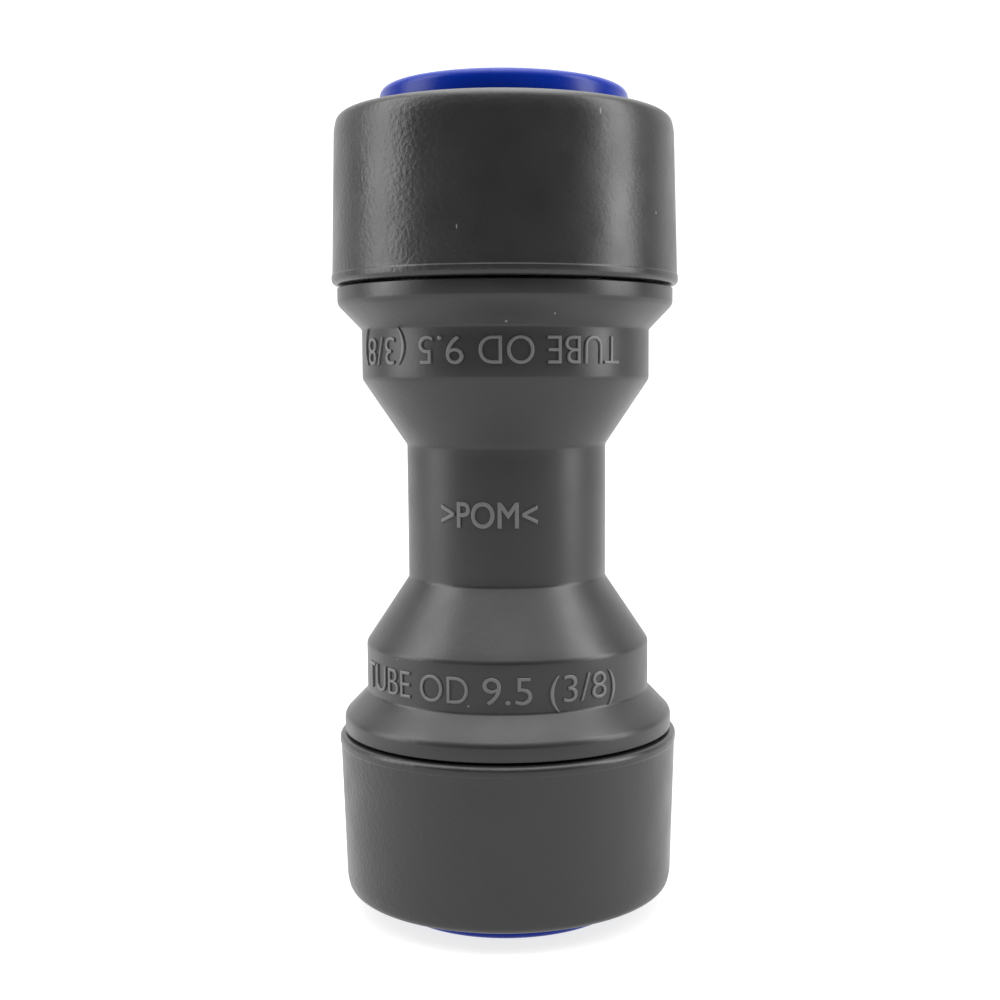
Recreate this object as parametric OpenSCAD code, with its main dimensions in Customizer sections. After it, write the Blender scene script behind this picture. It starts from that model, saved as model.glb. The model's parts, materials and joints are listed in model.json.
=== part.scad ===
// Push-fit coupling for plastic tube. A waisted acetal body carries the same fitting at
// each end: two O-rings with a spacer ring between them, a support ring, and a collet whose
// sprung fingers hold steel teeth. A snapped-on cap closes each end and keeps the collet in.
// Millimetres. Z runs along the tube, and the origin is the middle of the body.
// Both ends are alike: every part of the upper end is turned over for the lower one. The
// collets slide, and as the coupling stands the lower one is pushed in and the upper one is
// a little way out.

/* [Tube] */
// Outer diameter of the tube that pushes in
tube_d = 9.5; // [9.4:0.05:9.55]
// Gap between the tube and the socket, on the radius
tube_gap = 0.1; // [0.05:0.01:0.12]
// Diameter of the waterway through the tube stop
flow_d = 6.6; // [5:0.1:7.5]

/* [Body] */
// Diameter of the neck
neck_d = 12.2; // [11.9:0.1:12.5]
// Diameter of the waist over the inner O-ring
waist_d = 17.5; // [17.2:0.05:17.7]
// Diameter of the flange that the cap closes on
flange_d = 20.36; // [20.1:0.02:20.5]
// Half the length of the neck
neck_half = 4.08; // [3.9:0.02:4.2]
// Height where the long cone meets the waist
waist_z0 = 8.04; // [7.9:0.02:8.2]
// Height where the waist meets the short cone
waist_z1 = 11.02; // [10.9:0.02:11.2]
// Height where the short cone meets the flange
flange_z0 = 12.5; // [12.4:0.02:12.6]
// Height of the flange's flat face
flange_z1 = 13.5; // [13.4:0.02:13.6]

/* [Cap] */
// Diameter of the cap at its open rim
cap_d = 21; // [20.8:0.05:21.2]
// Diameter of the cap where its outer end begins to draw in
cap_end_d = 20.4; // [20.2:0.02:20.6]
// Height of the cap's outer face
cap_end_z = 23.65; // [23.55:0.05:23.85]
// Radius of the cap's rounded outer edge
cap_edge_r = 0.6; // [0.4:0.1:0.7]
// Height of the band below that edge where the cap draws in
cap_crown_h = 0.8; // [0.8:0.05:1]
// How far the cap draws in there, on the radius
cap_crown_in = 0.23; // [0.15:0.02:0.25]
// Width of the open seam between flange and cap
seam_gap = 0.16; // [0.12:0.02:0.24]

/* [Collet] */
// Diameter of the collet's head
head_d = 14.9; // [14.5:0.1:15.2]
// Thickness of the collet's head
head_t = 1.25; // [1:0.05:1.5]
// How far the collet comes out until its fingers meet the cap's cone
collet_travel = 1.6; // [1.2:0.1:1.6]
// How far out the upper collet is drawn
upper_out = 0.3; // [0:0.1:1.2]
// How far out the lower collet is drawn
lower_out = 0; // [0:0.1:1.2]
// Width of the slots between the fingers
slot_w = 1; // [0.7:0.1:1.2]

/* [Hidden] */
FINGERS = 8;

// Clearances between separate pieces
touch = 0.02;
sliding = 0.07;
loose = 0.08;

// Tube socket and tube stop
tube_r = tube_d / 2;
socket_r = tube_r + tube_gap;
guide_r = socket_r + 0.05;
stop_half = 1.5;
lead_in = 0.4;

// O-ring chamber and its stack, from the chamber's floor outwards
o_ring_r = 1.18;
o_ring_in_r = tube_r - 0.14;
o_ring_pitch_r = o_ring_in_r + o_ring_r;
chamber_r = o_ring_pitch_r + o_ring_r + touch;
chamber_z0 = 8.4;
stack_gap = 0.04;
spacer_t = 1.2;
support_t = 1.85;
o_ring1_z = chamber_z0 + stack_gap + o_ring_r;
spacer_z0 = o_ring1_z + o_ring_r + stack_gap;
o_ring2_z = spacer_z0 + spacer_t + stack_gap + o_ring_r;
support_z0 = o_ring2_z + o_ring_r + stack_gap;
ring_out_r = chamber_r - loose;
ring_in_r = guide_r + 0.05;

// Spigot on the body and its snap bead, which clicks into the cap's groove
spigot_r = 8.45;
spigot_z1 = 16.4;
bead_z = 14.9;
bead_half = 0.45;
bead_h = 0.2;

// Cap: its bore over the spigot, cone over the fingers, and mouth around the sleeve
cap_z0 = flange_z1 + seam_gap;
cap_bore_r = spigot_r + 0.05;
cap_step_z = spigot_z1 + touch;
cap_witness_z = cap_z0 + 0.56;
cap_crown_r = 2;
cone_angle = 20;
sleeve_r = 6.05;
mouth_r = sleeve_r + sliding;

// Collet: sleeve, sprung fingers and the cam that the cap's cone squeezes
head_z0 = cap_end_z + touch;
head_z1 = head_z0 + head_t;
finger_z0 = 16.5;
cam_r = 7;
cam_z = 17.6;
cam_top_z = cam_z + (cam_r - sleeve_r) / tan(cone_angle);
cone_z1 = cam_top_z + collet_travel;
cone_r0 = 7.9;
cone_z0 = cone_z1 - (cone_r0 - mouth_r) / tan(cone_angle);
slot_top_z = 20.8;
slot_end_r = 0.6;

// Steel tooth: a blade bent round the tube, leaning so that its edge points into the fitting
tooth_edge_r = tube_r - 0.12;
tooth_edge_z = 17.1;
tooth_l = 2.1;
tooth_t = 0.35;
tooth_lean = 37;
tooth_angle = 24;

ENDS = ["upper", "lower"];

BODY_GREY = [0.33, 0.33, 0.335];
CAP_GREY = [0.3, 0.3, 0.305];
COLLET_BLUE = [0.02, 0.1, 0.55];
RUBBER_BLACK = [0.03, 0.03, 0.03];
RING_WHITE = [0.85, 0.85, 0.83];
STEEL = [0.7, 0.71, 0.72];

// ---- Outlines: each point is [radius, height, rounding] and rounding 0 is a sharp corner ----

function unit(v) = v / norm(v);
function flat(list) = [for (part = list) each part];

// The arc that rounds corner p between its neighbours a and b, from one side to the other
function corner(a, p, b, r, steps = 6) =
    let (
        u = unit(a - p),
        v = unit(b - p),
        half = acos(max(-1, min(1, u * v))) / 2,
        reach = r / tan(half),
        middle = p + unit(u + v) * r / sin(half),
        from = p + u * reach - middle,
        to = p + v * reach - middle,
        sweep = acos(max(-1, min(1, unit(from) * unit(to))))
    )
    [for (i = [0 : steps]) let (t = i / steps)
        middle + (from * sin(sweep * (1 - t)) + to * sin(sweep * t)) / sin(sweep)];

function xy(p) = [p[0], p[1]];

function outline(points) =
    let (n = len(points))
    flat([for (i = [0 : n - 1]) let (p = points[i])
        p[2] > 0
            ? corner(xy(points[(i + n - 1) % n]), xy(p), xy(points[(i + 1) % n]), p[2])
            : [xy(p)]]);

// The other half of an outline that is alike on both sides of Z = 0, in running order
function turned(points) = [for (i = [len(points) - 1 : -1 : 0])
    [points[i][0], -points[i][1], points[i][2]]];

module turn(points) {
    rotate_extrude($fn = 96) polygon(outline(points));
}

// Upper end as drawn, lower end turned over about X
module at_end(end) {
    rotate([end == "upper" ? 0 : 180, 0, 0]) children();
}

// A collet and its teeth, drawn out as far as that end's collet is
module drawn_out(end) {
    translate([0, 0, end == "upper" ? upper_out : lower_out]) children();
}

// ---- Pieces ----

module body() {
    outer = [
        [neck_d / 2, neck_half, 0.3],
        [waist_d / 2, waist_z0, 0.3],
        [waist_d / 2, waist_z1, 0.2],
        [flange_d / 2, flange_z0, 0.4],
        [flange_d / 2, flange_z1, 0.12],
        [spigot_r, flange_z1, 0],
        [spigot_r, bead_z - bead_half, 0],
        [spigot_r + bead_h, bead_z, 0.1],
        [spigot_r, bead_z + bead_half, 0],
        [spigot_r, spigot_z1, 0.3]
    ];
    inner = [
        [chamber_r, spigot_z1, 0.15],
        [chamber_r, chamber_z0, 0.1],
        [socket_r + lead_in, chamber_z0, 0],
        [socket_r, chamber_z0 - lead_in, 0],
        [socket_r, stop_half, 0.1],
        [flow_d / 2 + 0.2, stop_half, 0],
        [flow_d / 2, stop_half - 0.2, 0]
    ];
    color(BODY_GREY) turn(concat(outer, inner, turned(concat(outer, inner))));
}

// Closed cap shell with the collet's mouth, its cone and the groove that snaps on the body
module cap() {
    color(CAP_GREY) turn([
        [cap_d / 2, cap_z0, 0.35],
        [cap_d / 2, cap_witness_z, 0],
        [cap_d / 2 - 0.04, cap_witness_z + 0.06, 0],
        [cap_end_d / 2, cap_end_z - cap_crown_h, cap_crown_r],
        [cap_end_d / 2 - cap_crown_in, cap_end_z, cap_edge_r],
        [mouth_r, cap_end_z, 0.25],
        [mouth_r, cone_z1, 0],
        [cone_r0, cone_z0, 0],
        [cone_r0, cap_step_z, 0],
        [cap_bore_r, cap_step_z, 0],
        [cap_bore_r, bead_z + bead_half + touch, 0],
        [cap_bore_r + bead_h, bead_z, 0.1],
        [cap_bore_r, bead_z - bead_half - touch, 0],
        [cap_bore_r, cap_z0, 0.2]
    ]);
}

// Head, sleeve and sprung fingers in one moulding, with a pocket for each tooth
module collet() {
    color(COLLET_BLUE) difference() {
        turn([
            [head_d / 2, head_z0, 0.1],
            [head_d / 2, head_z1, 0.4],
            [guide_r, head_z1, 0.55],
            [guide_r, finger_z0, 0.1],
            [cam_r - 0.4, finger_z0, 0],
            [cam_r, finger_z0 + 0.4, 0],
            [cam_r, cam_z, 0.2],
            [sleeve_r, cam_top_z, 0.4],
            [sleeve_r, head_z0, 0]
        ]);
        for (i = [0 : FINGERS / 2 - 1]) rotate([0, 0, i * 360 / FINGERS]) {
            translate([-head_d / 2, -slot_w / 2, finger_z0 - 1])
                cube([head_d, slot_w, slot_top_z - finger_z0 + 1]);
            translate([-head_d / 2, 0, slot_top_z]) rotate([0, 90, 0])
                cylinder(r = slot_end_r, h = head_d, $fn = 32);
        }
        for (i = [1 : FINGERS]) blade(i, touch);
    }
}

// One bent blade in the middle of finger i, grown on every side by grow
module blade(i, grow = 0) {
    span = tooth_angle + 2 * grow * 180 / (PI * tooth_edge_r);
    along = [cos(tooth_lean), sin(tooth_lean)];
    across = [sin(tooth_lean), -cos(tooth_lean)];
    edge = [tooth_edge_r, tooth_edge_z] - (along + across) * grow;
    length = along * (tooth_l + 2 * grow);
    thickness = across * (tooth_t + 2 * grow);
    rotate([0, 0, (i - 0.5) * 360 / FINGERS - span / 2])
        rotate_extrude(angle = span, $fn = 96)
            polygon([edge, edge + thickness, edge + thickness + length, edge + length]);
}

module tooth(i) {
    color(STEEL) blade(i);
}

module o_ring(z) {
    color(RUBBER_BLACK) translate([0, 0, z]) rotate_extrude($fn = 96)
        translate([o_ring_pitch_r, 0]) circle(r = o_ring_r, $fn = 48);
}

// Plain ring that keeps the two O-rings apart
module spacer_ring() {
    color(RING_WHITE) turn([
        [ring_out_r, spacer_z0, 0.15],
        [ring_out_r, spacer_z0 + spacer_t, 0.15],
        [ring_in_r, spacer_z0 + spacer_t, 0.15],
        [ring_in_r, spacer_z0, 0.15]
    ]);
}

// Ring that backs the outer O-ring and faces the fingers' ends, with a funnel for the tube
module support_ring() {
    color(RING_WHITE) turn([
        [ring_out_r, support_z0, 0.15],
        [ring_out_r, support_z0 + support_t, 0.15],
        [ring_in_r + 0.6, support_z0 + support_t, 0],
        [ring_in_r, support_z0 + support_t - 0.8, 0],
        [ring_in_r, support_z0, 0.15]
    ]);
}

body();
for (end = ENDS) at_end(end) {
    cap();
    drawn_out(end) collet();
    o_ring(o_ring1_z);
    o_ring(o_ring2_z);
    spacer_ring();
    support_ring();
    for (i = [1 : FINGERS])
        drawn_out(end) tooth(i);
}
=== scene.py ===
import json
import math

import bmesh
import bpy
from bpy.props import (FloatProperty, FloatVectorProperty, IntProperty, PointerProperty,
                       StringProperty)
from mathutils import Matrix, Vector


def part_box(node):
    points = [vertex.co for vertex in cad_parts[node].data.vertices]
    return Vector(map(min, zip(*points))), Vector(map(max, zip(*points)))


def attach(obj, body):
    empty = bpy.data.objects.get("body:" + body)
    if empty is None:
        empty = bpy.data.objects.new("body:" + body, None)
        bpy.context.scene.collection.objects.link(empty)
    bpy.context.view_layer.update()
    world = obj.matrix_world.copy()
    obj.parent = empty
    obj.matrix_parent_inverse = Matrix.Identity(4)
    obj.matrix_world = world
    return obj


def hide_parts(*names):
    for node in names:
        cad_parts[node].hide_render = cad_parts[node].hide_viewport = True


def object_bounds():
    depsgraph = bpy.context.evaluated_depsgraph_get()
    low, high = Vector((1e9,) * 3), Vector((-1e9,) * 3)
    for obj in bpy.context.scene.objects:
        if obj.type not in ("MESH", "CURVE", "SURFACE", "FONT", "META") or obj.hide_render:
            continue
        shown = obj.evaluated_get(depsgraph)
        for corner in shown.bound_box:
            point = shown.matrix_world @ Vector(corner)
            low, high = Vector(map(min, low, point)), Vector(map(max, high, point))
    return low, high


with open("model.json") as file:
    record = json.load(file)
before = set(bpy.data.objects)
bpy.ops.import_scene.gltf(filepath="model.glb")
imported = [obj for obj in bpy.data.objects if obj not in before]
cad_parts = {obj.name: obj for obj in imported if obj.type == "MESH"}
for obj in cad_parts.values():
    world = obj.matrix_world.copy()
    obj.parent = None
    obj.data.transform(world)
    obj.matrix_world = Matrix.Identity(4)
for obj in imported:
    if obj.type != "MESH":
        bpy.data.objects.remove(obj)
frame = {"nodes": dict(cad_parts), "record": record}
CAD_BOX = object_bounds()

bl_info = {
    "name": "Push fit coupling",
    "version": (1, 0, 0),
    "blender": (4, 5, 0),
    "location": "3D View > Sidebar > Coupling",
    "description": "Builds the pieces, the finishes and the studio of a push fit coupling",
    "category": "Object",
}

MM = 0.001
TURN = 2 * math.pi
FINGERS = 8
# The built-in font's capitals at size 1: how tall they are, and where their middle lies
CAPITAL_HEIGHT = 0.7
CAPITAL_MIDDLE = 0.041
# The bead on the spigot that snaps into the cap's groove, and the gap between fitted pieces
BEAD_HEIGHT = 14.9 * MM
BEAD_HALF = 0.45 * MM
BEAD_RISE = 0.2 * MM
FIT = 0.02 * MM
RECORD = frame["record"]
BODY_OF = {node: body for body, nodes in RECORD["behaviour"]["bodies"].items() for node in nodes}

# The upper end as modelled, and the lower end turned over about X
ENDS = {"upper": 0.0, "lower": math.pi}


# ---- Colour and nodes ----

def linear(hex_colour):
    """Turns an sRGB hex value, such as "#4a4b4d", to linear red, green and blue."""
    channels = [int(hex_colour[i:i + 2], 16) / 255 for i in (1, 3, 5)]
    return [c / 12.92 if c <= 0.04045 else ((c + 0.055) / 1.055) ** 2.4 for c in channels]


def add_node(tree, kind, inputs=None, **settings):
    """Adds a node with its settings, and links or sets its inputs by name or number."""
    node = tree.nodes.new(kind)
    for name, value in settings.items():
        setattr(node, name, value)
    for name, value in (inputs or {}).items():
        if isinstance(value, bpy.types.NodeSocket):
            tree.links.new(value, node.inputs[name])
        else:
            node.inputs[name].default_value = value
    return node


def new_material(name):
    """Starts a material and returns it with its tree, its object coordinates and its shader."""
    material = bpy.data.materials.new(name)
    material.use_nodes = True
    tree = material.node_tree
    shader = tree.nodes["Principled BSDF"]
    place = add_node(tree, "ShaderNodeTexCoord").outputs["Object"]
    return material, tree, place, shader


def specks(tree, place, spacing, size, share, stretch=(1, 1, 1)):
    """Sparse marks: cells spacing apart, of which a share holds a mark of that size."""
    squeezed = add_node(tree, "ShaderNodeMapping", {"Vector": place, "Scale": stretch})
    cells = add_node(tree, "ShaderNodeTexVoronoi", {"Vector": squeezed.outputs["Vector"],
                                                    "Scale": 1 / spacing}, feature="F1")
    near = add_node(tree, "ShaderNodeMath", {0: cells.outputs["Distance"], 1: size / spacing},
                    operation="LESS_THAN")
    pick = add_node(tree, "ShaderNodeSeparateColor", {"Color": cells.outputs["Color"]})
    chosen = add_node(tree, "ShaderNodeMath", {0: pick.outputs["Red"], 1: share},
                      operation="LESS_THAN")
    both = add_node(tree, "ShaderNodeMath", {0: near.outputs[0], 1: chosen.outputs[0]},
                    operation="MULTIPLY")
    return both.outputs[0]


def moulded_acetal(name, colour, worn, peel_depth, sink_depth, rough, gleam=0.5):
    """Injection-moulded acetal: satin, a little waxy, with a fine orange-peel skin."""
    peel_size = 0.26 * MM
    material, tree, place, shader = new_material(name)
    # Slow flow marks, about 5 mm across, shift the grey by a few percent
    flow = add_node(tree, "ShaderNodeTexNoise", {"Vector": place, "Scale": 1 / (5 * MM),
                                                 "Detail": 3.0})
    tone = add_node(tree, "ShaderNodeMix", {"Factor": flow.outputs["Fac"],
                                            "A": (*[c * 0.92 for c in colour], 1),
                                            "B": (*[c * 1.08 for c in colour], 1)},
                    data_type="RGBA")
    # Dust of 0.15 mm, and nicks of 0.4 mm from handling, show paler than the skin
    dust = specks(tree, place, 2.2 * MM, 0.075 * MM, 0.3)
    nicks = specks(tree, place, 2.6 * MM, 0.05 * MM, 0.3, stretch=(1, 1, 0.25))
    marks = add_node(tree, "ShaderNodeMath", {0: dust, 1: nicks}, operation="MAXIMUM")
    skin = add_node(tree, "ShaderNodeMix", {"Factor": marks.outputs[0],
                                            "A": tone.outputs["Result"],
                                            "B": (*worn, 1)}, data_type="RGBA")
    tree.links.new(skin.outputs["Result"], shader.inputs["Base Color"])
    # Handling polishes some patches, about 3 mm across, more than others
    polish = add_node(tree, "ShaderNodeTexNoise", {"Vector": place, "Scale": 1 / (3 * MM),
                                                   "Detail": 4.0})
    gloss = add_node(tree, "ShaderNodeMapRange", {"Value": polish.outputs["Fac"],
                                                  "From Min": 0.3, "From Max": 0.7,
                                                  "To Min": rough - 0.04, "To Max": rough + 0.05})
    tree.links.new(gloss.outputs["Result"], shader.inputs["Roughness"])
    # The skin: grains of peel_size, deepest towards -X, the side where the plastic went in,
    # and waves ten times as long where the wall sank
    noise = add_node(tree, "ShaderNodeTexNoise", {"Vector": place, "Scale": 1 / peel_size,
                                                  "Detail": 2.0, "Roughness": 0.45})
    side = add_node(tree, "ShaderNodeSeparateXYZ", {"Vector": place})
    depth = add_node(tree, "ShaderNodeMapRange", {"Value": side.outputs["X"],
                                                  "From Min": -6 * MM, "From Max": 3 * MM,
                                                  "To Min": 1.0, "To Max": 0.3})
    peel = add_node(tree, "ShaderNodeMath", {0: noise.outputs["Fac"], 1: depth.outputs["Result"]},
                    operation="MULTIPLY")
    waves = add_node(tree, "ShaderNodeTexNoise", {"Vector": place, "Scale": 0.1 / peel_size,
                                                  "Detail": 1.0})
    sink = add_node(tree, "ShaderNodeBump", {"Height": waves.outputs["Fac"], "Strength": 1.0,
                                             "Distance": sink_depth})
    grain = add_node(tree, "ShaderNodeBump", {"Height": peel.outputs[0], "Strength": 1.0,
                                              "Distance": peel_depth,
                                              "Normal": sink.outputs["Normal"]})
    tree.links.new(grain.outputs["Normal"], shader.inputs["Normal"])
    shader.inputs["IOR"].default_value = 1.48
    shader.inputs["Specular IOR Level"].default_value = gleam
    return material


def white_acetal():
    """Natural acetal of the hidden rings: milky white, satin, lets a little light in."""
    material, tree, place, shader = new_material("natural white acetal")
    cloud = add_node(tree, "ShaderNodeTexNoise", {"Vector": place, "Scale": 1 / (2 * MM),
                                                  "Detail": 3.0})
    tone = add_node(tree, "ShaderNodeMix", {"Factor": cloud.outputs["Fac"],
                                            "A": (*linear("#d2d0c8"), 1),
                                            "B": (*linear("#e4e2dc"), 1)}, data_type="RGBA")
    tree.links.new(tone.outputs["Result"], shader.inputs["Base Color"])
    lathe_lines = add_node(tree, "ShaderNodeTexWave", {"Vector": place, "Scale": 1 / (3 * MM),
                                                       "Distortion": 0.6},
                           wave_type="RINGS", rings_direction="Z")
    ridges = add_node(tree, "ShaderNodeBump", {"Height": lathe_lines.outputs["Fac"],
                                               "Strength": 1.0, "Distance": 0.002 * MM})
    tree.links.new(ridges.outputs["Normal"], shader.inputs["Normal"])
    shader.inputs["Roughness"].default_value = 0.42
    shader.inputs["IOR"].default_value = 1.48
    return material


def nitrile_rubber():
    """Black nitrile rubber of the O-rings: matt, with a thin film of grease that shines."""
    material, tree, place, shader = new_material("greased nitrile rubber")
    patches = add_node(tree, "ShaderNodeTexNoise", {"Vector": place, "Scale": 1 / (0.8 * MM),
                                                    "Detail": 4.0})
    film = add_node(tree, "ShaderNodeMapRange", {"Value": patches.outputs["Fac"],
                                                 "From Min": 0.35, "From Max": 0.65,
                                                 "To Min": 0.28, "To Max": 0.62})
    tree.links.new(film.outputs["Result"], shader.inputs["Roughness"])
    grit = add_node(tree, "ShaderNodeBump", {"Height": patches.outputs["Fac"], "Strength": 1.0,
                                             "Distance": 0.006 * MM})
    tree.links.new(grit.outputs["Normal"], shader.inputs["Normal"])
    shader.inputs["Base Color"].default_value = (*linear("#17171a"), 1)
    shader.inputs["IOR"].default_value = 1.52
    return material


def stamped_steel():
    """Stainless steel of the teeth: bright rolled strip with fine lines from the rolls."""
    material, tree, place, shader = new_material("stamped stainless steel")
    along = add_node(tree, "ShaderNodeMapping", {"Vector": place, "Scale": (1.0, 1.0, 14.0)})
    lines = add_node(tree, "ShaderNodeTexNoise", {"Vector": along.outputs["Vector"],
                                                  "Scale": 1 / (1.2 * MM), "Detail": 5.0})
    polish = add_node(tree, "ShaderNodeMapRange", {"Value": lines.outputs["Fac"],
                                                   "From Min": 0.3, "From Max": 0.7,
                                                   "To Min": 0.2, "To Max": 0.36})
    tree.links.new(polish.outputs["Result"], shader.inputs["Roughness"])
    roll = add_node(tree, "ShaderNodeBump", {"Height": lines.outputs["Fac"], "Strength": 1.0,
                                             "Distance": 0.002 * MM})
    tree.links.new(roll.outputs["Normal"], shader.inputs["Normal"])
    shader.inputs["Base Color"].default_value = (*linear("#c9cacb"), 1)
    shader.inputs["Metallic"].default_value = 1.0
    return material


def opal_acrylic():
    """The studio floor: an opal acrylic light table, lit from below so that shadows stay pale."""
    material, tree, place, shader = new_material("opal acrylic light table")
    mottle = add_node(tree, "ShaderNodeTexNoise", {"Vector": place, "Scale": 1 / (20 * MM),
                                                   "Detail": 2.0})
    tone = add_node(tree, "ShaderNodeMix", {"Factor": mottle.outputs["Fac"],
                                            "A": (*linear("#8a8a8a"), 1),
                                            "B": (*linear("#8d8d8d"), 1)}, data_type="RGBA")
    tree.links.new(tone.outputs["Result"], shader.inputs["Base Color"])
    shader.inputs["Roughness"].default_value = 0.9
    shader.inputs["Specular IOR Level"].default_value = 0.0
    shader.inputs["Emission Color"].default_value = (1, 1, 1, 1)
    shader.inputs["Emission Strength"].default_value = 0.78
    return material


# ---- Meshes ----

def lathe(outline, steps, span=0.6 * MM):
    """Spins a closed outline about Z. Each corner is (radius, height, rounding), where rounding
    is how far from the corner its curve begins. Long runs are cut into spans, so that the
    shading near a rounded corner doesn't spread along them."""
    bm = bmesh.new()
    corners = [bm.verts.new((radius, 0, height)) for radius, height, _ in outline]
    bm.faces.new(corners)
    for corner, (_, _, rounding) in zip(corners, outline):
        if rounding:
            bmesh.ops.bevel(bm, geom=[corner], offset=rounding, affect="VERTICES",
                            segments=max(5, round(rounding / (0.05 * MM))), profile=0.5,
                            material=-1)
    bmesh.ops.delete(bm, geom=bm.faces[:], context="FACES_ONLY")
    for edge in [e for e in bm.edges if e.calc_length() > span]:
        bmesh.ops.subdivide_edges(bm, edges=[edge], cuts=int(edge.calc_length() / span))
    bmesh.ops.spin(bm, geom=bm.verts[:] + bm.edges[:], cent=(0, 0, 0), axis=(0, 0, 1),
                   angle=TURN, steps=steps, use_merge=True)
    bmesh.ops.recalc_face_normals(bm, faces=bm.faces[:])
    return bm


def both_halves(corners):
    """A closed outline that is alike on both sides of the middle, from its upper half."""
    return corners + [(radius, -height, rounding) for radius, height, rounding in corners[::-1]]


def make_piece(name, bm, material, node, stands_for=True, sharp=math.radians(40)):
    """Turns a bmesh into a smooth-shaded piece that rides on the body of a CAD node."""
    mesh = bpy.data.meshes.new(name)
    bm.to_mesh(mesh)
    bm.free()
    mesh.shade_smooth()
    mesh.set_sharp_from_angle(angle=sharp)
    mesh.materials.append(material)
    piece = bpy.data.objects.new(name, mesh)
    bpy.context.scene.collection.objects.link(piece)
    weighted = piece.modifiers.new("even shading", "WEIGHTED_NORMAL")
    weighted.keep_sharp = True
    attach(piece, BODY_OF[node])
    if stands_for:
        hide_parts(node)
    return piece


def turn_over(bm, angle):
    """Turns a bmesh about X, which takes the upper end's pieces to the lower end."""
    bmesh.ops.rotate(bm, cent=(0, 0, 0), matrix=Matrix.Rotation(angle, 3, "X"), verts=bm.verts)


def text_mesh(words, length, height, relief, stroke):
    """Words as a raised mesh in the XY plane, centred, of that length, capital height and
    relief. A bracket or a comma reaches past the capitals."""
    curve = bpy.data.curves.new(words, "FONT")
    curve.body = words
    curve.align_x = "CENTER"
    curve.align_y = "CENTER"
    curve.resolution_u = 6
    curve.extrude = 0.05
    curve.bevel_depth = 0.022
    curve.bevel_resolution = 2
    curve.offset = stroke - curve.bevel_depth
    text = bpy.data.objects.new(words, curve)
    bpy.context.scene.collection.objects.link(text)
    bpy.context.view_layer.update()
    graph = bpy.context.evaluated_depsgraph_get()
    mesh = bpy.data.meshes.new_from_object(text.evaluated_get(graph))
    bpy.data.objects.remove(text)
    bm = bmesh.new()
    bm.from_mesh(mesh)
    bpy.data.meshes.remove(mesh)
    bmesh.ops.remove_doubles(bm, verts=bm.verts, dist=1e-5)
    low = Vector([min(v.co[i] for v in bm.verts) for i in range(3)])
    high = Vector([max(v.co[i] for v in bm.verts) for i in range(3)])
    middle = (low + high) / 2
    middle.y = CAPITAL_MIDDLE
    bmesh.ops.translate(bm, vec=-middle, verts=bm.verts)
    bmesh.ops.scale(bm, vec=(length / (high.x - low.x), height / CAPITAL_HEIGHT,
                             relief / (high.z - low.z)), verts=bm.verts)
    return bm


def wrap(bm, radius, sink):
    """Bends a flat mesh in XY round a cylinder about Z, facing -Y, sunk into it by sink. It is
    first cut into upright strips, so that it can bend."""
    reach = max(abs(v.co.x) for v in bm.verts)
    lowest = min(v.co.z for v in bm.verts)
    strip = 0.2 * MM
    for cut in range(-int(reach / strip), int(reach / strip) + 1):
        bmesh.ops.bisect_plane(bm, geom=bm.verts[:] + bm.edges[:] + bm.faces[:], dist=1e-8,
                               plane_co=(cut * strip, 0, 0), plane_no=(1, 0, 0))
    for vert in bm.verts:
        x, y, z = vert.co
        r = radius + z - lowest - sink
        vert.co = (r * math.sin(x / radius), -r * math.cos(x / radius), y)


# ---- Settings ----

class BodySizes(bpy.types.PropertyGroup):
    """The body's outline, from the neck to the flange."""
    neck_radius: FloatProperty(name="Neck radius", description="Radius of the thin middle",
                               default=6.1 * MM, unit="LENGTH", precision=5)
    neck_half: FloatProperty(name="Neck half length", description="From the middle to the cone",
                             default=4.08 * MM, unit="LENGTH", precision=5)
    waist_radius: FloatProperty(name="Waist radius", description="Radius of the lettered band",
                                default=8.75 * MM, unit="LENGTH", precision=5)
    waist_low: FloatProperty(name="Waist start", description="Height where the band starts",
                             default=8.04 * MM, unit="LENGTH", precision=5)
    waist_high: FloatProperty(name="Waist end", description="Height where the band ends",
                              default=11.02 * MM, unit="LENGTH", precision=5)
    flange_low: FloatProperty(name="Flange start", description="Height of the flange's edge",
                              default=12.5 * MM, unit="LENGTH", precision=5)
    flange_high: FloatProperty(name="Flange face", description="Height of the flange's face",
                               default=13.5 * MM, unit="LENGTH", precision=5)
    spigot_radius: FloatProperty(name="Spigot radius", description="Radius inside the cap",
                                 default=8.45 * MM, unit="LENGTH", precision=5)
    socket_radius: FloatProperty(name="Socket radius", description="Radius that takes the tube",
                                 default=4.85 * MM, unit="LENGTH", precision=5)
    stop_half: FloatProperty(name="Stop half length", description="Half the tube stop's length",
                             default=1.5 * MM, unit="LENGTH", precision=5)
    flow_radius: FloatProperty(name="Waterway radius", description="Radius through the stop",
                               default=3.3 * MM, unit="LENGTH", precision=5)
    chamber_low: FloatProperty(name="Chamber floor", description="Height of the O-ring chamber",
                               default=8.4 * MM, unit="LENGTH", precision=5)


class CapSizes(bpy.types.PropertyGroup):
    """The cap that closes each end."""
    end_radius: FloatProperty(name="End radius", description="Radius where the crown begins",
                              default=10.2 * MM, unit="LENGTH", precision=5)
    crown_height: FloatProperty(name="Crown height", description="Height of the drawn-in band",
                                default=0.8 * MM, unit="LENGTH", precision=5)
    crown_inset: FloatProperty(name="Crown inset", description="How far that band draws in",
                               default=0.23 * MM, unit="LENGTH", precision=5)
    rim: FloatProperty(name="Rim", description="Width of the raised band at the open rim",
                       default=0.56 * MM, unit="LENGTH", precision=5)
    witness: FloatProperty(name="Witness step", description="Depth of the step above the rim",
                           default=0.05 * MM, unit="LENGTH", precision=6)
    mouth_radius: FloatProperty(name="Mouth radius", description="Radius round the collet",
                                default=6.12 * MM, unit="LENGTH", precision=5)


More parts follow.
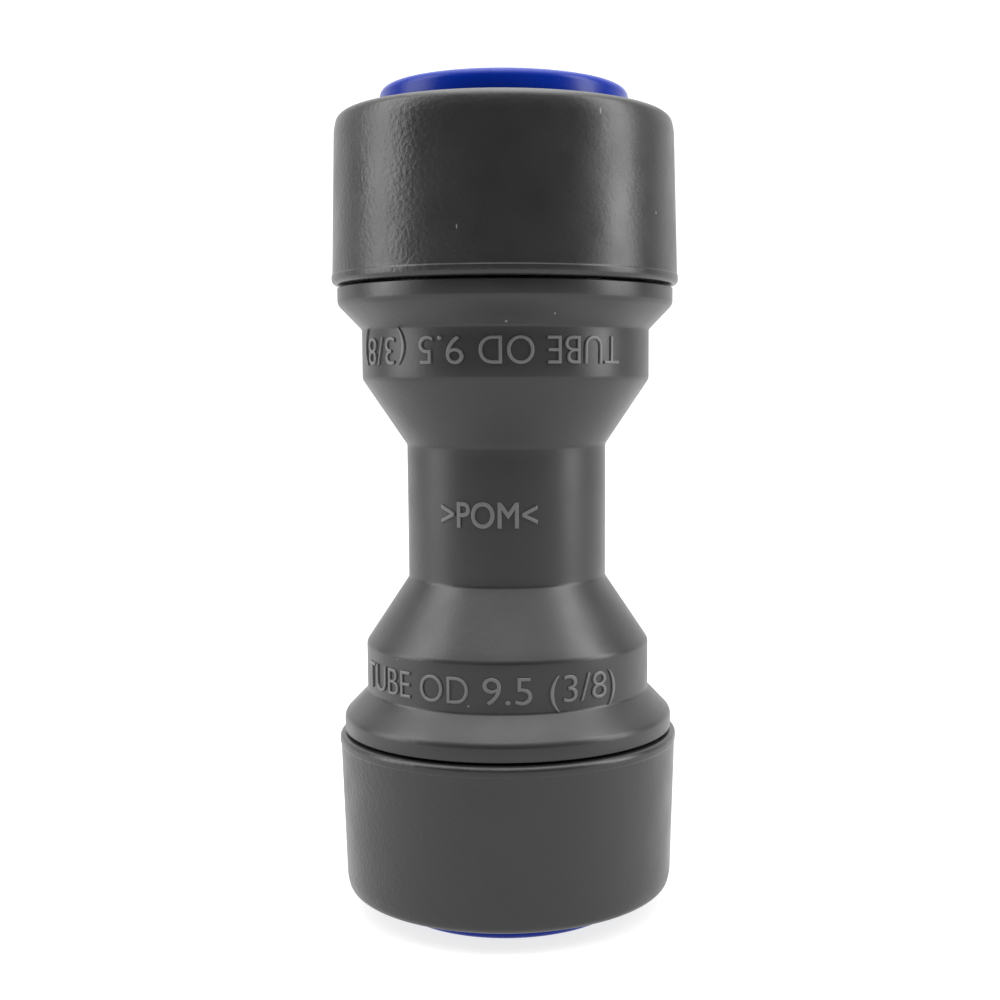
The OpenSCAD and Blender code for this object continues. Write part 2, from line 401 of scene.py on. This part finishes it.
class ColletSizes(bpy.types.PropertyGroup):
    """The collet that slides in each cap."""
    sleeve_radius: FloatProperty(name="Sleeve radius", description="Radius in the cap's mouth",
                                 default=6.05 * MM, unit="LENGTH", precision=5)
    bore_radius: FloatProperty(name="Bore radius", description="Radius that the tube passes",
                               default=4.9 * MM, unit="LENGTH", precision=5)
    cam_radius: FloatProperty(name="Cam radius", description="Radius of the fingers' ends",
                              default=7.0 * MM, unit="LENGTH", precision=5)
    slot_width: FloatProperty(name="Slot width", description="Width between two fingers",
                              default=1.0 * MM, unit="LENGTH", precision=5)
    slot_length: FloatProperty(name="Slot length", description="From the fingers' ends",
                               default=4.9 * MM, unit="LENGTH", precision=5)
    head_thickness: FloatProperty(name="Head thickness", description="Thickness of the head",
                                  default=1.25 * MM, unit="LENGTH", precision=5)


class Lettering(bpy.types.PropertyGroup):
    """The generic marks moulded on the body."""
    tube_word: StringProperty(name="Tube word", description="First word of the size mark",
                              default="TUBE OD")
    tube_size: StringProperty(name="Tube size", description="Size in millimetres and inches",
                              default="9.5 (3/8)")
    plastic: StringProperty(name="Plastic", description="Recycling mark on the neck",
                            default=">POM<")
    height: FloatProperty(name="Capital height", description="Height of the capitals",
                          default=1.62 * MM, unit="LENGTH", precision=5)
    relief: FloatProperty(name="Relief", description="How far the letters stand proud",
                          default=0.1 * MM, unit="LENGTH", precision=6)


class Finishes(bpy.types.PropertyGroup):
    """Colours of the mouldings."""
    body_grey: FloatVectorProperty(name="Body grey", description="Grey of the body",
                                   subtype="COLOR", default=linear("#222222"), min=0, max=1)
    cap_grey: FloatVectorProperty(name="Cap grey", description="Grey of the caps",
                                  subtype="COLOR", default=linear("#212121"), min=0, max=1)
    worn_grey: FloatVectorProperty(name="Worn grey", description="Where the skin is rubbed",
                                   subtype="COLOR", default=linear("#6e6e6e"), min=0, max=1)
    # The raised marks are the body's own acetal; this lighter grey is a painted highlight that
    # stands in for the light caught on their rounded tops
    letter_highlight_grey: FloatVectorProperty(name="Letter highlight grey", description="Grey of raised marks",
                                     subtype="COLOR", default=linear("#5c5c5c"), min=0, max=1)
    collet_blue: FloatVectorProperty(name="Collet blue", description="Blue of the collets",
                                     subtype="COLOR", default=linear("#02268c"), min=0, max=1)
    steps: IntProperty(name="Steps", description="Faces round each turned piece",
                       default=256, min=64, max=512)


class Studio(bpy.types.PropertyGroup):
    """The camera and the lights."""
    distance: FloatProperty(name="Distance", description="Camera to the coupling's axis",
                            default=91.75 * MM, unit="LENGTH", precision=4)
    across: FloatProperty(name="Across", description="Camera to the right of the axis",
                          default=2.89 * MM, unit="LENGTH", precision=4)
    height: FloatProperty(name="Height", description="Camera above the coupling's middle",
                          default=8.0 * MM, unit="LENGTH", precision=4)
    pitch: FloatProperty(name="Pitch", description="How far the camera looks down",
                         default=math.radians(6.56), unit="ROTATION")
    roll: FloatProperty(name="Roll", description="How far the camera leans",
                        default=math.radians(0.18), unit="ROTATION")
    shift_across: FloatProperty(name="Shift across", description="Lens shift, in frame widths",
                                default=-0.0536, precision=4)
    shift_up: FloatProperty(name="Shift up", description="Lens shift, in frame widths",
                            default=0.05, precision=4)
    lens: FloatProperty(name="Lens", description="Focal length on a 36 mm sensor",
                        default=53.35, unit="CAMERA")
    left_light: FloatProperty(name="Left light", description="Radiance of the left softbox",
                              default=5.4)
    right_light: FloatProperty(name="Right light", description="Radiance of the right softbox",
                               default=8.6)
    top_light: FloatProperty(name="Top light", description="Radiance of the ceiling",
                             default=6.0)
    back_light: FloatProperty(name="Back light", description="Radiance of the wall behind",
                              default=1.2)
    front_light: FloatProperty(name="Front light", description="Radiance of the camera's side",
                               default=0.04)


class CouplingSettings(bpy.types.PropertyGroup):
    """All the settings of the coupling, kept on the scene."""
    body: PointerProperty(type=BodySizes)
    cap: PointerProperty(type=CapSizes)
    collet: PointerProperty(type=ColletSizes)
    lettering: PointerProperty(type=Lettering)
    finishes: PointerProperty(type=Finishes)
    studio: PointerProperty(type=Studio)


# ---- Operators ----

class COUPLING_OT_body(bpy.types.Operator):
    """Turns the waisted body with its sockets, O-ring chambers and spigots"""
    bl_idname = "coupling.body"
    bl_label = "Body"

    def execute(self, context):
        settings = context.scene.coupling
        size = settings.body
        flange_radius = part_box("body")[1].x
        spigot_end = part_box("body")[1].z
        chamber_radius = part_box("upper_outer_o_ring")[1].x + FIT
        lead_in = 0.4 * MM
        outside = [
            (size.neck_radius, size.neck_half, 0.12 * MM),
            (size.waist_radius, size.waist_low, 0.16 * MM),
            (size.waist_radius, size.waist_high, 0.1 * MM),
            (flange_radius, size.flange_low, 0.22 * MM),
            (flange_radius, size.flange_high, 0.08 * MM),
            (size.spigot_radius, size.flange_high, 0),
            (size.spigot_radius, BEAD_HEIGHT - BEAD_HALF, 0),
            (size.spigot_radius + BEAD_RISE, BEAD_HEIGHT, 0.15 * MM),
            (size.spigot_radius, BEAD_HEIGHT + BEAD_HALF, 0),
            (size.spigot_radius, spigot_end, 0.3 * MM),
        ]
        inside = [
            (chamber_radius, spigot_end, 0.15 * MM),
            (chamber_radius, size.chamber_low, 0.1 * MM),
            (size.socket_radius + lead_in, size.chamber_low, 0.06 * MM),
            (size.socket_radius, size.chamber_low - lead_in, 0.1 * MM),
            (size.socket_radius, size.stop_half, 0.1 * MM),
            (size.flow_radius, size.stop_half, 0.2 * MM),
        ]
        bm = lathe(both_halves(outside + inside), settings.finishes.steps)
        grey = moulded_acetal("grey acetal body", settings.finishes.body_grey,
                              settings.finishes.worn_grey, peel_depth=0.01 * MM,
                              sink_depth=0.018 * MM, rough=0.36)
        make_piece("body_moulding", bm, grey, "body")
        return {"FINISHED"}


class COUPLING_OT_caps(bpy.types.Operator):
    """Turns the cap that closes each end, with its rim, mouth and inner cone"""
    bl_idname = "coupling.caps"
    bl_label = "Caps"

    def execute(self, context):
        settings = context.scene.coupling
        size = settings.cap
        low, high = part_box("upper_cap")
        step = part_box("body")[1].z + FIT
        bore = settings.body.spigot_radius + 0.05 * MM
        # The cone that squeezes the fingers: its wide end, and the two heights it runs between
        cone_radius, cone_low, cone_high = 7.9 * MM, 16.92 * MM, 21.81 * MM
        outline = [
            (high.x, low.z, 0.3 * MM),
            (high.x, low.z + size.rim, 0.04 * MM),
            (high.x - size.witness, low.z + size.rim + 0.08 * MM, 0.04 * MM),
            (size.end_radius, high.z - size.crown_height, 0.34 * MM),
            (size.end_radius - size.crown_inset, high.z, 0.45 * MM),
            (size.mouth_radius, high.z, 0.25 * MM),
            (size.mouth_radius, cone_high, 0.1 * MM),
            (cone_radius, cone_low, 0),
            (cone_radius, step, 0),
            (bore, step, 0),
            (bore, BEAD_HEIGHT + BEAD_HALF + FIT, 0),
            (bore + BEAD_RISE, BEAD_HEIGHT, 0.15 * MM),
            (bore, BEAD_HEIGHT - BEAD_HALF - FIT, 0),
            (bore, low.z, 0.2 * MM),
        ]
        grey = moulded_acetal("grey acetal cap", settings.finishes.cap_grey,
                              settings.finishes.worn_grey, peel_depth=0.028 * MM,
                              sink_depth=0.036 * MM, rough=0.34)
        for end, angle in ENDS.items():
            bm = lathe(outline, settings.finishes.steps)
            turn_over(bm, angle)
            make_piece(end + "_cap_shell", bm, grey, end + "_cap")
        return {"FINISHED"}


class COUPLING_OT_collets(bpy.types.Operator):
    """Turns each collet and cuts the slots that part its fingers"""
    bl_idname = "coupling.collets"
    bl_label = "Collets"

    def execute(self, context):
        settings = context.scene.coupling
        size = settings.collet
        blue = moulded_acetal("blue acetal collet", settings.finishes.collet_blue,
                              linear("#5f86d8"), peel_depth=0.003 * MM,
                              sink_depth=0.009 * MM, rough=0.28, gleam=0.2)
        for end, angle in ENDS.items():
            low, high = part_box(end + "_collet")
            inner, outer = sorted((abs(low.z), abs(high.z)))
            bm = lathe(self.outline(size, high.x, inner, outer), settings.finishes.steps)
            turn_over(bm, angle)
            collet = make_piece(end + "_collet_moulding", bm, blue, end + "_collet")
            self.cut_slots(collet, size, inner, angle)
        return {"FINISHED"}

    def outline(self, size, head_radius, inner, outer):
        """The collet's outline between the fingers' ends and the face of the head."""
        head = outer - size.head_thickness
        return [
            (head_radius, head, 0.1 * MM),
            (head_radius, outer, 0.5 * MM),
            (size.bore_radius, outer, 0.55 * MM),
            (size.bore_radius, inner, 0.1 * MM),
            (size.cam_radius - 0.4 * MM, inner, 0),
            (size.cam_radius, inner + 0.4 * MM, 0),
            (size.cam_radius, inner + 1.1 * MM, 0.12 * MM),
            (size.sleeve_radius, inner + 3.71 * MM, 0.1 * MM),
            (size.sleeve_radius, head, 0),
        ]

    def cut_slots(self, collet, size, inner, angle):
        """Cuts the slots right across the collet, two fingers' gaps at a time."""
        half = size.slot_width / 2
        reach = size.cam_radius + 1 * MM
        top = inner + size.slot_length
        clear = inner - 1 * MM
        for cut in range(FINGERS // 2):
            bm = bmesh.new()
            sides = [(-half, clear), (half, clear), (half, top), (-half, top)]
            corners = [bm.verts.new((-reach, y, z)) for y, z in sides]
            bm.faces.new(corners)
            bmesh.ops.bevel(bm, geom=corners[2:], offset=half * 0.98, affect="VERTICES",
                            segments=6, profile=0.5, material=-1)
            sweep = bmesh.ops.extrude_face_region(bm, geom=bm.faces[:])
            ends = [v for v in sweep["geom"] if isinstance(v, bmesh.types.BMVert)]
            bmesh.ops.translate(bm, vec=(2 * reach, 0, 0), verts=ends)
            bmesh.ops.recalc_face_normals(bm, faces=bm.faces[:])
            bmesh.ops.rotate(bm, cent=(0, 0, 0), verts=bm.verts,
                             matrix=Matrix.Rotation(cut * TURN / FINGERS, 3, "Z"))
            turn_over(bm, angle)
            mesh = bpy.data.meshes.new("slot cutter")
            bm.to_mesh(mesh)
            bm.free()
            cutter = bpy.data.objects.new("slot_cutter", mesh)
            bpy.context.scene.collection.objects.link(cutter)
            knife = collet.modifiers.new("slot", "BOOLEAN")
            knife.object = cutter
            knife.solver = "EXACT"
            bpy.context.view_layer.update()
            graph = bpy.context.evaluated_depsgraph_get()
            collet.data = bpy.data.meshes.new_from_object(collet.evaluated_get(graph))
            collet.modifiers.remove(knife)
            bpy.data.objects.remove(cutter)


class COUPLING_OT_lettering(bpy.types.Operator):
    """Raises the tube size on both bands and the plastic's recycling mark on the neck"""
    bl_idname = "coupling.lettering"
    bl_label = "Lettering"

    def execute(self, context):
        settings = context.scene.coupling
        marks = settings.lettering
        size = settings.body
        # The letters get a lighter grey than the body: a painted highlight for the light on their
        # rounded tops
        grey = moulded_acetal("grey acetal lettering, painted highlight", settings.finishes.letter_highlight_grey,
                              settings.finishes.worn_grey, peel_depth=0.004 * MM,
                              sink_depth=0.012 * MM, rough=0.4)
        # The letters stand a little nearer the flange than the middle of the band
        line = (size.waist_low + size.waist_high) / 2 + 0.14 * MM
        for end, turn, azimuth in (("lower", 0.0, 0.0), ("upper", math.pi, math.radians(-21.4))):
            bm = bmesh.new()
            # Each string with the angles that it runs between, in degrees round the band
            for words, start, stop in ((marks.tube_word, -70.5, -13.3),
                                       (marks.tube_size, -7.7, 47.3)):
                arc = math.radians(stop - start) * size.waist_radius
                part = text_mesh(words, arc, marks.height, 2 * marks.relief, -0.006)
                wrap(part, size.waist_radius, marks.relief)
                middle = math.radians(start + stop) / 2
                bmesh.ops.rotate(part, cent=(0, 0, 0), verts=part.verts,
                                 matrix=Matrix.Rotation(middle, 3, "Z"))
                joined = bpy.data.meshes.new(words)
                part.to_mesh(joined)
                part.free()
                bm.from_mesh(joined)
                bpy.data.meshes.remove(joined)
            bmesh.ops.translate(bm, vec=(0, 0, -line), verts=bm.verts)
            spin = Matrix.Rotation(azimuth, 3, "Z") @ Matrix.Rotation(turn, 3, "Y")
            bmesh.ops.rotate(bm, cent=(0, 0, 0), matrix=spin, verts=bm.verts)
            make_piece(end + "_size_mark", bm, grey, "body", stands_for=False)
        bm = text_mesh(marks.plastic, 5.9 * MM, 1.5 * MM, 2 * marks.relief, 0.012)
        wrap(bm, size.neck_radius, marks.relief)
        bmesh.ops.rotate(bm, cent=(0, 0, 0), verts=bm.verts,
                         matrix=Matrix.Rotation(math.radians(-9.1), 3, "Z"))
        bmesh.ops.translate(bm, vec=(0, 0, 0.17 * MM), verts=bm.verts)
        make_piece("plastic_mark", bm, grey, "body", stands_for=False)
        return {"FINISHED"}


class COUPLING_OT_inner_parts(bpy.types.Operator):
    """Gives the O-rings, the spacer and support rings and the steel teeth their finishes"""
    bl_idname = "coupling.inner_parts"
    bl_label = "Inner parts"

    def execute(self, context):
        finishes = {"o_ring": nitrile_rubber(), "spacer_ring": white_acetal(),
                    "support_ring": white_acetal(), "tooth": stamped_steel()}
        for name, node in frame["nodes"].items():
            for kind, material in finishes.items():
                if kind in name:
                    node.data.materials.clear()
                    node.data.materials.append(material)
        return {"FINISHED"}


class COUPLING_OT_stage(bpy.types.Operator):
    """Sets the pale floor, the soft lights, the plain white surroundings and the camera"""
    bl_idname = "coupling.stage"
    bl_label = "Stage"

    def execute(self, context):
        studio = context.scene.coupling.studio
        self.lay_floor()
        self.hang_softbox("left softbox", (-249, -27, 112), (141, 270), studio.left_light)
        self.hang_softbox("right softbox", (247, -39, 112), (97, 270), studio.right_light)
        self.light_surroundings(context.scene, studio)
        self.place_camera(context.scene, studio)
        context.scene.view_settings.view_transform = "Standard"
        return {"FINISHED"}

    def lay_floor(self):
        bm = bmesh.new()
        bmesh.ops.create_grid(bm, x_segments=1, y_segments=1, size=0.5)
        bmesh.ops.translate(bm, vec=(0, 0, CAD_BOX[0].z), verts=bm.verts)
        mesh = bpy.data.meshes.new("floor")
        bm.to_mesh(mesh)
        bm.free()
        mesh.materials.append(opal_acrylic())
        floor = bpy.data.objects.new("floor", mesh)
        bpy.context.scene.collection.objects.link(floor)

    def hang_softbox(self, name, place_mm, size_mm, radiance):
        """A softbox that faces the coupling, with the power that gives it that radiance."""
        light = bpy.data.lights.new(name, "AREA")
        light.shape = "RECTANGLE"
        light.size, light.size_y = (side * MM for side in size_mm)
        light.energy = radiance * math.pi * light.size * light.size_y
        softbox = bpy.data.objects.new(name, light)
        softbox.location = Vector(place_mm) * MM
        softbox.rotation_euler = softbox.location.to_track_quat("Z", "Y").to_euler()
        bpy.context.scene.collection.objects.link(softbox)

    def light_surroundings(self, scene, studio):
        """A bright ceiling and back wall, dim on the camera's side, and white where it shows."""
        world = bpy.data.worlds.new("plain white room")
        world.use_nodes = True
        tree = world.node_tree
        shader = tree.nodes["Background"]
        way = add_node(tree, "ShaderNodeTexCoord").outputs["Generated"]
        split = add_node(tree, "ShaderNodeSeparateXYZ", {"Vector": way})
        wall = add_node(tree, "ShaderNodeMapRange", {
            "Value": split.outputs["Y"], "From Min": 0.25, "From Max": 0.7,
            "To Min": studio.front_light, "To Max": studio.back_light},
            interpolation_type="SMOOTHSTEP")
        up = add_node(tree, "ShaderNodeMapRange", {
            "Value": split.outputs["Z"], "From Min": 0.2, "From Max": 1.0})
        ceiling = add_node(tree, "ShaderNodeMath", {0: up.outputs["Result"], 1: 4.0},
                           operation="POWER")
        glow = add_node(tree, "ShaderNodeMath", {0: ceiling.outputs[0], 1: studio.top_light,
                                                 2: wall.outputs["Result"]},
                        operation="MULTIPLY_ADD")
        seen = add_node(tree, "ShaderNodeLightPath").outputs["Is Camera Ray"]
        strength = add_node(tree, "ShaderNodeMath", {0: glow.outputs[0], 1: seen},
                            operation="MAXIMUM")
        tree.links.new(strength.outputs[0], shader.inputs["Strength"])
        shader.inputs["Color"].default_value = (1, 1, 1, 1)
        scene.world = world

    def place_camera(self, scene, studio):
        data = bpy.data.cameras.new("camera")
        data.lens = studio.lens
        data.sensor_width = 36
        data.shift_x, data.shift_y = studio.shift_across, studio.shift_up
        data.clip_start, data.clip_end = 1 * MM, 10
        camera = bpy.data.objects.new("camera", data)
        place = Matrix.Translation((studio.across, -studio.distance, studio.height))
        aim = Matrix.Rotation(math.pi / 2 - studio.pitch, 4, "X")
        lean = Matrix.Rotation(-studio.roll, 4, "Z")
        camera.matrix_world = place @ aim @ lean
        scene.collection.objects.link(camera)
        scene.camera = camera


class COUPLING_PT_panel(bpy.types.Panel):
    """The coupling's steps and settings in the sidebar"""
    bl_idname = "COUPLING_PT_panel"
    bl_label = "Push fit coupling"
    bl_space_type = "VIEW_3D"
    bl_region_type = "UI"
    bl_category = "Coupling"

    def draw(self, context):
        settings = context.scene.coupling
        for step in STEPS:
            self.layout.operator(step.bl_idname)
        for title in ("body", "cap", "collet", "lettering", "finishes", "studio"):
            box = self.layout.box()
            box.label(text=title.capitalize())
            group = getattr(settings, title)
            for name in group.__annotations__:
                box.prop(group, name)


SETTINGS = (BodySizes, CapSizes, ColletSizes, Lettering, Finishes, Studio, CouplingSettings)
STEPS = (COUPLING_OT_stage, COUPLING_OT_body, COUPLING_OT_caps, COUPLING_OT_collets,
         COUPLING_OT_lettering, COUPLING_OT_inner_parts)
CLASSES = (*SETTINGS, *STEPS, COUPLING_PT_panel)


def register():
    for cls in CLASSES:
        bpy.utils.register_class(cls)
    bpy.types.Scene.coupling = PointerProperty(type=CouplingSettings)


def unregister():
    del bpy.types.Scene.coupling
    for cls in reversed(CLASSES):
        bpy.utils.unregister_class(cls)


def main():
    register()
    for step in STEPS:
        category, name = step.bl_idname.split(".")
        getattr(getattr(bpy.ops, category), name)()


if __name__ == "__main__":
    main()
